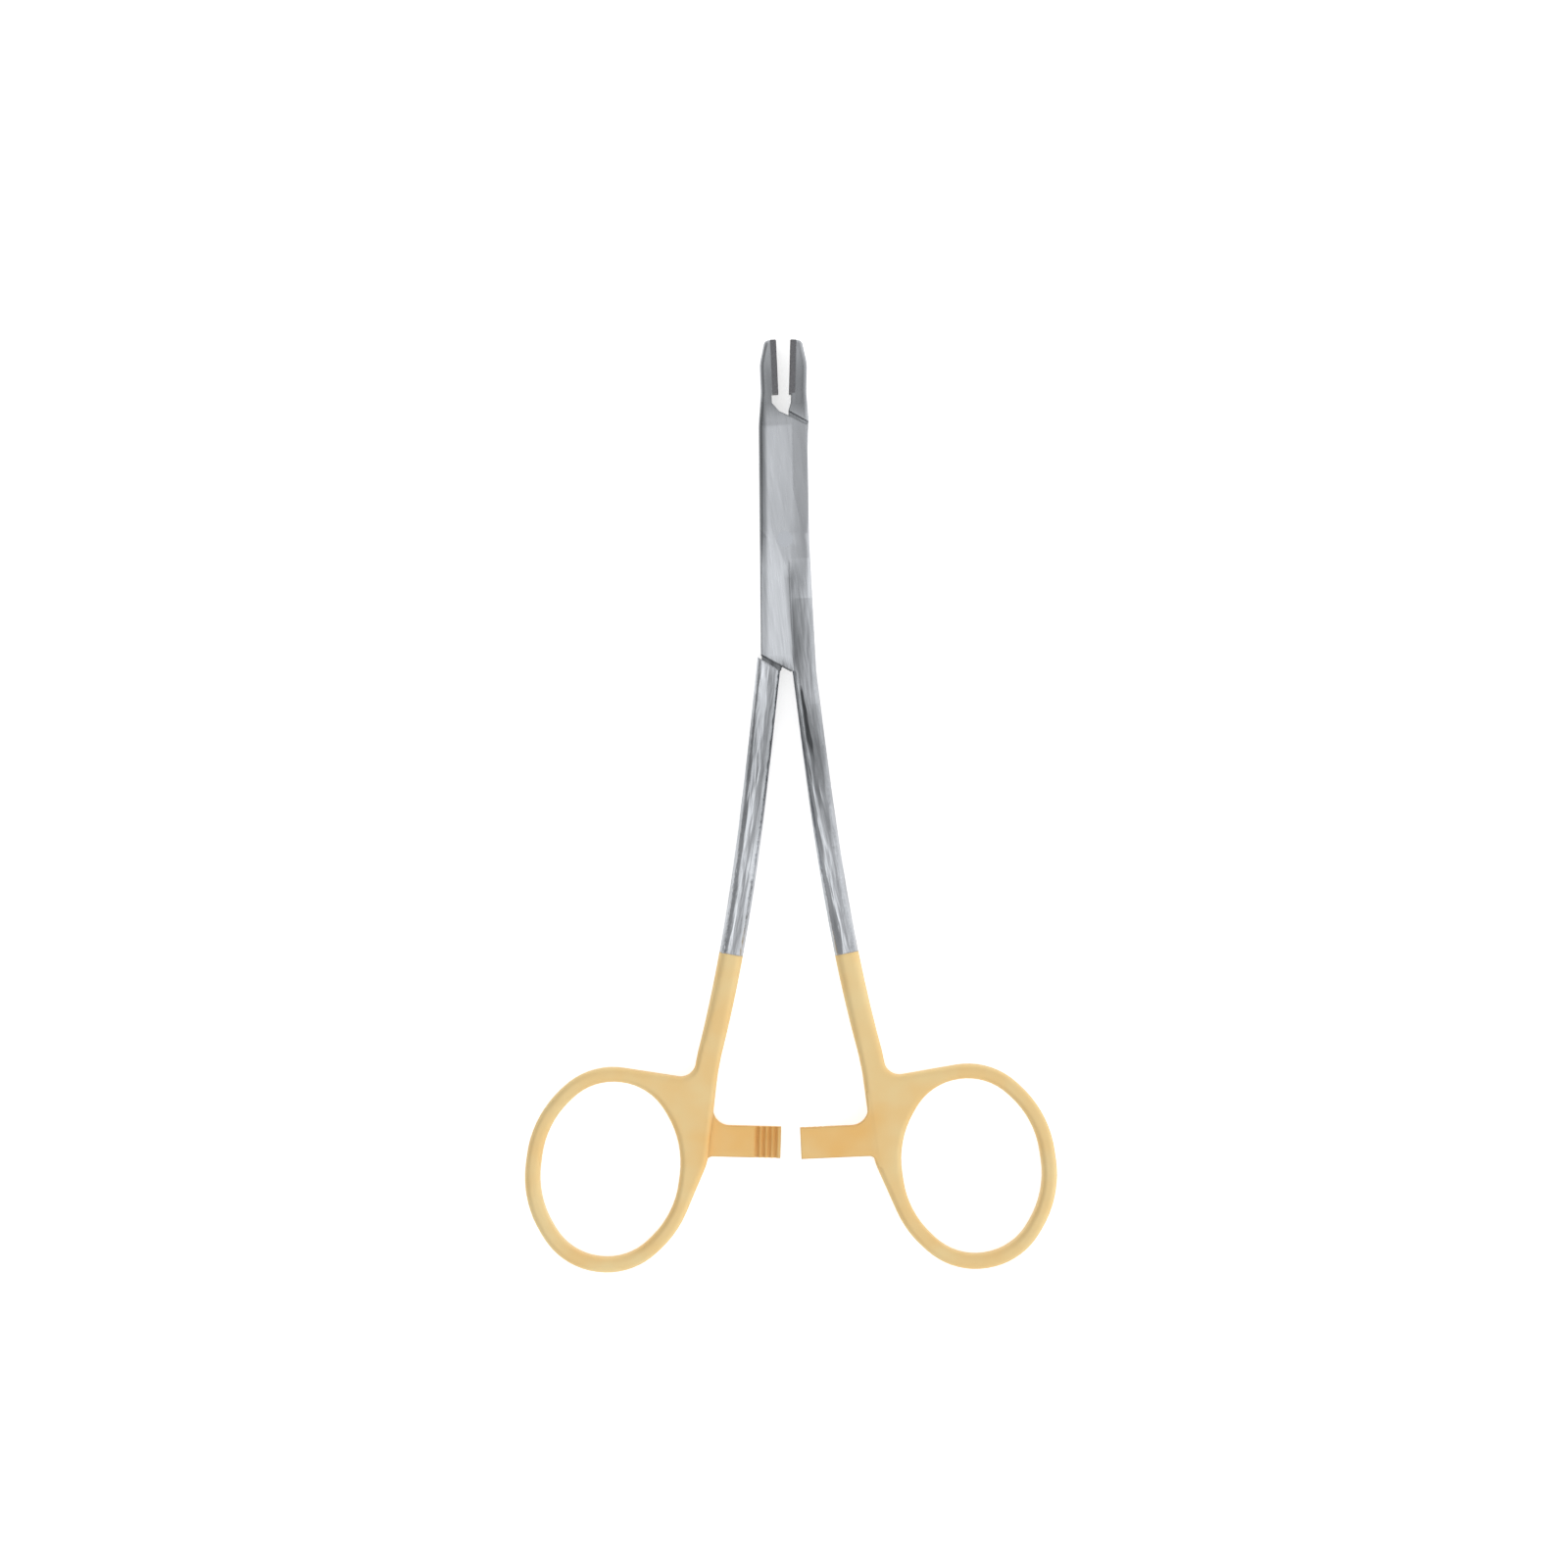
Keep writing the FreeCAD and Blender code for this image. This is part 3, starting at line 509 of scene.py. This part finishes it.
    def tone(self, board: NodeBoard, site: Site, shank: Socket, streaks: Socket) -> Socket:
        """Share of the bright steel in the colour.

        Args:
            board: material to add the nodes to.
            site: where the place lies.
            shank: share of the shank.
            streaks: noise of the polishing streaks.

        Returns:
            The share, 0 where the steel is darkest.
        """
        streak = board.worked_out("MULTIPLY", board.worked_out("SUBTRACT", streaks, 0.5), self.streak_tone)
        strength = board.spread(shank, SHARES, (self.satin_streaks, 1.0))
        streak = board.worked_out("MULTIPLY", streak, strength)
        tone = board.worked_out("ADD", streak, self.satin_tone)
        for shade in self.shades(board, site, streaks):
            tone = board.worked_out("SUBTRACT", tone, shade)
        return board.worked_out("MAXIMUM", tone, 0.0)

    def shades(self, board: NodeBoard, site: Site, streaks: Socket) -> list[Socket]:
        """Joint lines, and painted shade on the jaw, the plates' left edge and foot facet, and the shank's
        bow.

        Args:
            board: material to add the nodes to.
            site: where the place lies.
            streaks: noise of the polishing streaks, which frays the painted dark reflection on the right
                shank.

        Returns:
            How much darker each makes the place.
        """
        joints = board.worked_out("MAXIMUM", *[
            board.worked_out("MULTIPLY", joint.mark(board, self.side, site.plan), shade)
            for joint, shade in zip((JAW_JOINT, FOOT_JOINT), self.joint_shades)
        ])
        # Painted shade on the jaw
        jaw = self.jaw.shade_at(board, site.reach, site.depth)
        # Painted shade over the middle of the shank
        bow = board.faded(self.bow_shade, site.depth, self.bow_fades)
        if self.side is Side.LEFT:
            return [joints, jaw, bow]
        # Painted shade along the plates' left edge
        edge = self.left_edge.shade_at(board, site.lying, site.depth)
        # Painted shade along the plates' foot facet
        start = board.worked_out("SUBTRACT", site.reach, self.painted_facet_shade_start)
        line = board.worked_out("MULTIPLY_ADD", site.depth, -self.painted_facet_shade_lean, start)
        painted_facet_shade = self.painted_facet_shade.shade_at(board, board.worked_out("ABSOLUTE", line), site.depth)
        # Painted dark reflection on the right shank, frayed by the polishing streaks
        middle = board.worked_out("SUBTRACT", site.across, self.painted_reflection_place)
        frayed = board.worked_out("MULTIPLY_ADD", streaks, self.painted_reflection_fray, middle)
        painted_reflection = self.painted_reflection.shade_at(board, board.worked_out("ABSOLUTE", frayed), site.depth)
        plates = board.worked_out("MAXIMUM", edge, painted_facet_shade)
        return [joints, jaw, plates, board.worked_out("MAXIMUM", bow, painted_reflection)]

    def height(
        self, board: NodeBoard, site: Site, shank: Socket, lines: Socket, streaks: Socket
    ) -> Socket:
        """Height map of the ridge, the polishing streaks and the grinding lines.

        Args:
            board: material to add the nodes to.
            site: where the place lies.
            shank: share of the shank.
            lines: noise of the grinding lines.
            streaks: noise of the polishing streaks.

        Returns:
            The height, in metres.
        """
        slope = board.spread(site.depth, self.axis.ridge_depths, self.side.ridge_slopes)
        square = board.worked_out("MULTIPLY_ADD", site.across, site.across, self.ridge_width ** 2)
        fall = board.worked_out("MULTIPLY", board.worked_out("SQRT", square), slope)
        heights = (self.satin_share * self.streak_height, self.streak_height)
        ground = board.worked_out("MULTIPLY", lines, self.line_height)
        ground = board.worked_out("MULTIPLY_ADD", streaks, board.spread(shank, SHARES, heights), ground)
        return board.worked_out("SUBTRACT", ground, board.worked_out("MULTIPLY", fall, shank))

    def edge_radius(self, board: NodeBoard, site: Site) -> Socket:
        """Radius by which the edges are softened, almost none where the pin is ground flush.

        Args:
            board: material to add the nodes to.
            site: where the place lies.

        Returns:
            The radius.
        """
        right, up = site.plan
        square = board.worked_out("MULTIPLY_ADD", right, right, board.worked_out("MULTIPLY", up, up))
        away = board.worked_out("SQRT", square)
        return board.spread(away, self.pin_reaches, (self.pin_edge, self.edge))


@dataclass(frozen=True)
class GoldPlate:
    """Satin gold plating over the ground handles, of a deeper tone on the ratchet arms."""

    name: str = "gold_plating"
    bright: Colour = (0.87, 0.68, 0.35)
    dark: Colour = (0.87, 0.54, 0.19)
    cloud: Corner = (0.007, 0.007, 0.007)
    cloud_reach: Range = (0.35, 0.65)
    cloud_tones: Range = (0.45, 0.9)
    grit: Corner = (0.00008, 0.00035, 0.00008)
    grit_detail: float = 1.0
    grit_tone: float = 0.2
    roughness: Range = (0.50, 0.60)
    grit_height: float = 0.0000015
    edge: float = 0.00040
    metallic: float = 0.45
    arm_place: float = -0.0915
    arms: Band = Band(0.55, (0.012, 0.016), (((0.004, 0.007), (1.0, 0.0)),))

    def material(self) -> bpy.types.Material:
        """Material with a fine satin grit and faint clouds.

        Returns:
            The finished material.
        """
        board = NodeBoard(self.name)
        place = board.add("TexCoord").outputs["Object"]
        clouds = board.noise(board.stretched(place, self.cloud))
        grit = board.noise(board.stretched(place, self.grit), detail=self.grit_detail)
        tone = board.spread(clouds, self.cloud_reach, self.cloud_tones)
        tone = board.worked_out("MULTIPLY_ADD", grit, self.grit_tone, tone)
        tone = board.worked_out("SUBTRACT", tone, self.arm_share(board, place))
        roughness = board.spread(grit, NOISE_REACH, self.roughness)
        board.finish(board.blend(tone, self.dark, self.bright), roughness, self.metallic)
        board.relief(board.worked_out("MULTIPLY", grit, self.grit_height), self.edge)
        return board.material

    def arm_share(self, board: NodeBoard, place: Socket) -> Socket:
        """Deeper tone of the ratchet arms.

        Args:
            board: material to add the nodes to.
            place: coordinates in metres.

        Returns:
            How much deeper the tone is.
        """
        right, up, _ = board.split(place)
        beside = board.worked_out("ABSOLUTE", right)
        along = board.worked_out("ABSOLUTE", board.worked_out("SUBTRACT", up, self.arm_place))
        return self.arms.shade_at(board, beside, along)


@dataclass(frozen=True)
class GrainedMetal:
    """Plain metal with a fine grain."""

    name: str
    bright: Colour
    dark: Colour
    grain: Corner
    detail: float
    fineness: float
    tone_reach: Range
    roughness: Range
    grain_height: float
    edge: float

    def material(self) -> bpy.types.Material:
        """Material whose grain shows in its colour, its gloss and its relief.

        Returns:
            The finished material.
        """
        board = NodeBoard(self.name)
        place = board.add("TexCoord").outputs["Object"]
        grain = board.noise(board.stretched(place, self.grain), self.detail, self.fineness)
        colour = board.blend(board.spread(grain, self.tone_reach, SHARES), self.dark, self.bright)
        board.finish(colour, board.spread(grain, NOISE_REACH, self.roughness), 1.0)
        board.relief(board.worked_out("MULTIPLY", grain, self.grain_height), self.edge)
        return board.material


RIVET_STEEL = GrainedMetal(
    "rivet_steel", bright=(0.455, 0.475, 0.505), dark=(0.415, 0.435, 0.465),
    grain=(0.00010, 0.0030, 0.00010), detail=2.0, fineness=0.5, tone_reach=(0.0, 1.0),
    roughness=(0.26, 0.34), grain_height=0.0000015, edge=0.00002,
)
HARD_METAL = GrainedMetal(
    "sintered_hard_metal", bright=(0.22, 0.22, 0.23), dark=(0.13, 0.13, 0.14),
    grain=(0.00012, 0.00012, 0.00012), detail=3.0, fineness=0.65, tone_reach=(0.35, 0.65),
    roughness=(0.42, 0.58), grain_height=0.000003, edge=0.00004,
)


@dataclass
class Forging:
    """One half of the instrument, shown as its steel part and its plated part."""

    node: str
    body: str
    side: Side
    plating_place: Spot = (0.0093, -0.0624)
    plating_lean: float = 0.19
    merge_reach: float = 0.000002
    smooth_angle: float = math.radians(32)
    ridge_angle: float = math.radians(2.5)
    ridge_reach: Range = (-0.0026, 0.0028)
    plate_height: float = 0.0015
    joint_angle: float = math.radians(60)
    joint_reach: float = 0.00016
    joint_break: float = 0.00016
    break_segments: int = 2

    def build(self, steel: bpy.types.Material, gold: bpy.types.Material) -> list[bpy.types.Object]:
        """Make the two shown pieces of this forging.

        Args:
            steel: finish of the jaw, lock and upper shank.
            gold: finish of the lower shank, ring and ratchet arm.

        Returns:
            The steel piece and the plated piece.
        """
        parts = []
        for label, slot, finish in (("steel", Slot.STEEL, steel), ("plated", Slot.GOLD, gold)):
            piece = self.copied(f"{self.node}_{label}")
            self.keep_part(piece, slot)
            piece.data.materials.clear()
            piece.data.materials.append(finish)
            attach(piece, self.body)
            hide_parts(self.node)
            parts.append(piece)
        return parts

    def copied(self, name: str) -> bpy.types.Object:
        """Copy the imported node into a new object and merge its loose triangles.

        Args:
            name: name of the new object.

        Returns:
            The new object, active and selected.
        """
        bpy.ops.object.select_all(action="DESELECT")
        piece = bpy.data.objects.new(name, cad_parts[self.node].data.copy())
        bpy.context.scene.collection.objects.link(piece)
        bpy.context.view_layer.objects.active = piece
        piece.select_set(True)
        bpy.ops.mesh.customdata_custom_splitnormals_clear()
        bpy.ops.object.mode_set(mode="EDIT")
        bpy.ops.mesh.select_all(action="SELECT")
        bpy.ops.mesh.remove_doubles(threshold=self.merge_reach)
        bpy.ops.mesh.normals_make_consistent(inside=False)
        bpy.ops.object.mode_set(mode="OBJECT")
        return piece

    def keep_part(self, piece: bpy.types.Object, slot: Slot) -> None:
        """Cut a copy at the plating line and keep one part of it.

        Args:
            piece: merged copy of the forging, active.
            slot: the steel slot keeps the upper part, the gold slot the lower one.
        """
        reach, up = self.plating_place
        sine, cosine = math.sin(self.plating_lean), math.cos(self.plating_lean)
        bpy.ops.object.mode_set(mode="EDIT")
        bpy.ops.mesh.select_all(action="SELECT")
        bpy.ops.mesh.bisect(
            plane_co=(self.side.value * reach, up, 0.0), plane_no=(self.side.value * sine, -cosine, 0.0),
            use_fill=True, clear_outer=slot is Slot.STEEL, clear_inner=slot is Slot.GOLD,
        )
        bpy.ops.object.mode_set(mode="OBJECT")
        if slot is Slot.STEEL:
            self.break_joints(piece)
        bpy.ops.object.shade_smooth_by_angle(angle=self.smooth_angle)
        if slot is Slot.STEEL:
            self.sharpen_ridges(piece)

    def closed_place(self, point: Vector) -> Vector:
        """Place of a point when the jaws are closed, its height taken from the mid-plane."""
        turned = point.copy()
        turned.rotate(Euler((0.0, 0.0, -self.side.value * REST_TURN)))
        turned.z -= MID_HEIGHT
        return turned

    def select_edges(
        self, piece: bpy.types.Object, angle: float, picked: Callable[[Vector, Vector], bool]
    ) -> None:
        """Select the edges that are sharper than an angle and pass a test, and stay in edit mode.

        Args:
            piece: the active object.
            angle: least angle between an edge's faces.
            picked: test of an edge by its two ends, jaws closed.
        """
        bpy.ops.object.mode_set(mode="EDIT")
        bpy.ops.mesh.select_mode(type="EDGE")
        bpy.ops.mesh.select_all(action="DESELECT")
        bpy.ops.mesh.edges_select_sharp(sharpness=angle)
        bpy.ops.object.mode_set(mode="OBJECT")
        places = [self.closed_place(vertex.co) for vertex in piece.data.vertices]
        for edge in piece.data.edges:
            edge.select = edge.select and picked(*[places[index] for index in edge.vertices])
        bpy.ops.object.mode_set(mode="EDIT")

    def break_joints(self, piece: bpy.types.Object) -> None:
        """Break the edges along the two joints between plates and shoulders.

        Args:
            piece: the active object.
        """
        def on_joint(first: Vector, second: Vector) -> bool:
            """Whether an edge of an outer face runs along a joint."""
            level = min(abs(first.z), abs(second.z)) > self.plate_height
            return level and any(
                all(joint.distance(end) < self.joint_reach for end in (first, second))
                for joint in (JAW_JOINT, FOOT_JOINT)
            )

        self.select_edges(piece, self.joint_angle, on_joint)
        bpy.ops.mesh.bevel(
            offset=self.joint_break, segments=self.break_segments, affect="EDGES", clamp_overlap=True
        )
        bpy.ops.object.mode_set(mode="OBJECT")

    def sharpen_ridges(self, piece: bpy.types.Object) -> None:
        """Keep the ridges of the plates' facets crisp.

        Args:
            piece: the active object.
        """
        def on_plate(first: Vector, second: Vector) -> bool:
            """Whether an edge of an outer face lies well inside the plates."""
            low, high = self.ridge_reach
            inside = all(low < end.x * self.side.value < high for end in (first, second))
            level = min(abs(first.z), abs(second.z)) > self.plate_height
            return inside and level and max(first.y, second.y) < JAW_JOINT.start[1]

        self.select_edges(piece, self.ridge_angle, on_plate)
        bpy.ops.mesh.mark_sharp()
        bpy.ops.object.mode_set(mode="OBJECT")


@dataclass
class CarriedNode:
    """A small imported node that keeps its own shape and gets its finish."""

    node: str
    slot: Slot

    def dress(self, finish: bpy.types.Material) -> bpy.types.Object:
        """Give the node its finish.

        Args:
            finish: material for all of its faces.

        Returns:
            The node's object.
        """
        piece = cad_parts[self.node]
        for place in piece.material_slots:
            place.link = "OBJECT"
            place.material = finish
        return piece


@dataclass
class Studio:
    """White table, soft light and the camera straight above."""

    image_pixels: int = 1600
    pixel_size: float = 0.00014815
    pivot_pixel: Spot = (801.0, 551.0)
    roll: float = 0.0095
    lens: float = 100.0
    sensor: float = 36.0
    floor_size: float = 8.0
    floor_white: float = 0.82
    floor_roughness: float = 0.9
    floor_gloss: float = 0.1
    floor_lift: float = 0.62
    sky_scale: float = 1.8
    sky_across: tuple[Range, ...] = (
        (-1.0, 0.60), (-0.5, 0.52), (-0.32, 0.95), (-0.15, 1.70), (0.0, 1.20),
        (0.12, 0.93), (0.3, 0.64), (0.5, 1.0), (0.75, 1.4), (1.0, 1.6),
    )
    sky_along: tuple[Range, ...] = ((-1.0, 0.9), (0.02, 1.0), (0.17, 0.60), (0.6, 0.85), (1.0, 1.0))
    lamp_place: Corner = (-0.20, 0.0, 0.9)
    lamp_size: float = 0.3
    lamp_power: float = 0.13

    def build(self) -> None:
        """Set up table, world, lamp and camera."""
        self.lay_floor()
        self.light_world()
        self.hang_lamp()
        self.place_camera()
        bpy.context.scene.view_settings.view_transform = "Standard"

    def lay_floor(self) -> None:
        """Lay a white table under the instrument that keeps its shadow."""
        bpy.ops.object.select_all(action="DESELECT")
        bpy.ops.mesh.primitive_plane_add(size=self.floor_size, location=(0.0, 0.0, 0.0))
        floor = bpy.context.active_object
        floor.name = "table"
        board = NodeBoard("white_table")
        board.shader.inputs["Base Color"].default_value = (*[self.floor_white] * 3, 1.0)
        board.shader.inputs["Roughness"].default_value = self.floor_roughness
        board.shader.inputs["Specular IOR Level"].default_value = self.floor_gloss
        path = board.add("LightPath").outputs
        seen = board.worked_out("MAXIMUM", path["Is Camera Ray"], path["Is Glossy Ray"])
        seen = board.worked_out("MAXIMUM", seen, path["Is Transmission Ray"])
        board.shader.inputs["Emission Color"].default_value = WHITE
        lift = board.worked_out("MULTIPLY", seen, self.floor_lift)
        board.join(lift, board.shader.inputs["Emission Strength"])
        floor.data.materials.append(board.material)

    def light_world(self) -> None:
        """Light the world softly: dim on the left, brightest just left of overhead, lighter far right."""
        world = bpy.data.worlds.new("soft_studio")
        bpy.context.scene.world = world
        world.use_nodes = True
        nodes, links = world.node_tree.nodes, world.node_tree.links
        split = nodes.new("ShaderNodeSeparateXYZ")
        links.new(nodes.new("ShaderNodeTexCoord").outputs["Generated"], split.inputs["Vector"])
        level = nodes.new("ShaderNodeMath")
        level.operation = "MULTIPLY"
        for axis, stops, place in (("X", self.sky_across, 0), ("Y", self.sky_along, 1)):
            share = nodes.new("ShaderNodeMapRange")
            share.inputs["From Min"].default_value = -1.0
            links.new(split.outputs[axis], share.inputs["Value"])
            ramp = nodes.new("ShaderNodeValToRGB")
            ramp.color_ramp.interpolation = "EASE"
            for number, (direction, strength) in enumerate(stops):
                at = (direction + 1) / 2
                points = ramp.color_ramp.elements
                point = points[number] if number < 2 else points.new(at)
                point.position = at
                point.color = (*[strength / self.sky_scale] * 3, 1.0)
            links.new(share.outputs["Result"], ramp.inputs["Fac"])
            links.new(ramp.outputs["Color"], level.inputs[place])
        # Both ramps hold shares of the scale, so their product is lifted by its square
        lift = nodes.new("ShaderNodeMath")
        lift.operation = "MULTIPLY"
        lift.inputs[1].default_value = self.sky_scale ** 2
        links.new(level.outputs["Value"], lift.inputs[0])
        links.new(lift.outputs["Value"], nodes["Background"].inputs["Strength"])
        nodes["Background"].inputs["Color"].default_value = WHITE

    def hang_lamp(self) -> None:
        """Hang a square soft lamp that looks at the instrument."""
        bpy.ops.object.light_add(type="AREA", location=self.lamp_place)
        lamp = bpy.context.active_object
        lamp.name = "softbox"
        lamp.data.size = self.lamp_size
        lamp.data.energy = self.lamp_power
        lamp.rotation_euler = (-Vector(self.lamp_place)).to_track_quat("-Z", "Y").to_euler()

    def place_camera(self) -> None:
        """Hang the camera straight above, framed as the photograph is."""
        middle = self.image_pixels / 2
        right = (middle - self.pivot_pixel[0]) * self.pixel_size
        up = (self.pivot_pixel[1] - middle) * self.pixel_size
        cosine, sine = math.cos(self.roll), math.sin(self.roll)
        field_width = self.image_pixels * self.pixel_size
        height = MID_HEIGHT + field_width * self.lens / self.sensor
        place = (right * cosine + up * sine, up * cosine - right * sine, height)
        bpy.ops.object.camera_add(location=place, rotation=(0.0, 0.0, -self.roll))
        camera = bpy.context.active_object
        camera.data.lens = self.lens
        camera.data.sensor_width = self.sensor
        bpy.context.scene.camera = camera


def main() -> None:
    """Build and dress the instrument, then the studio round it."""
    logging.basicConfig(level=logging.INFO, format="%(message)s")
    gold, rivet, carbide = GoldPlate().material(), RIVET_STEEL.material(), HARD_METAL.material()
    pieces = []
    for forging in (
        Forging("box_half", "female_half", Side.RIGHT),
        Forging("tongue_half", "male_half", Side.LEFT),
    ):
        pieces += forging.build(GroundSteel(forging.side).material(), gold)
    for carried, finish in (
        (CarriedNode("pivot_pin", Slot.PIN), rivet),
        (CarriedNode("left_jaw_insert", Slot.CARBIDE), carbide),
        (CarriedNode("right_jaw_insert", Slot.CARBIDE), carbide),
    ):
        pieces.append(carried.dress(finish))
    for piece in pieces:
        log.info("%s: %d faces", piece.name, len(piece.data.polygons))
    Studio().build()


if __name__ == "__main__":
    main()
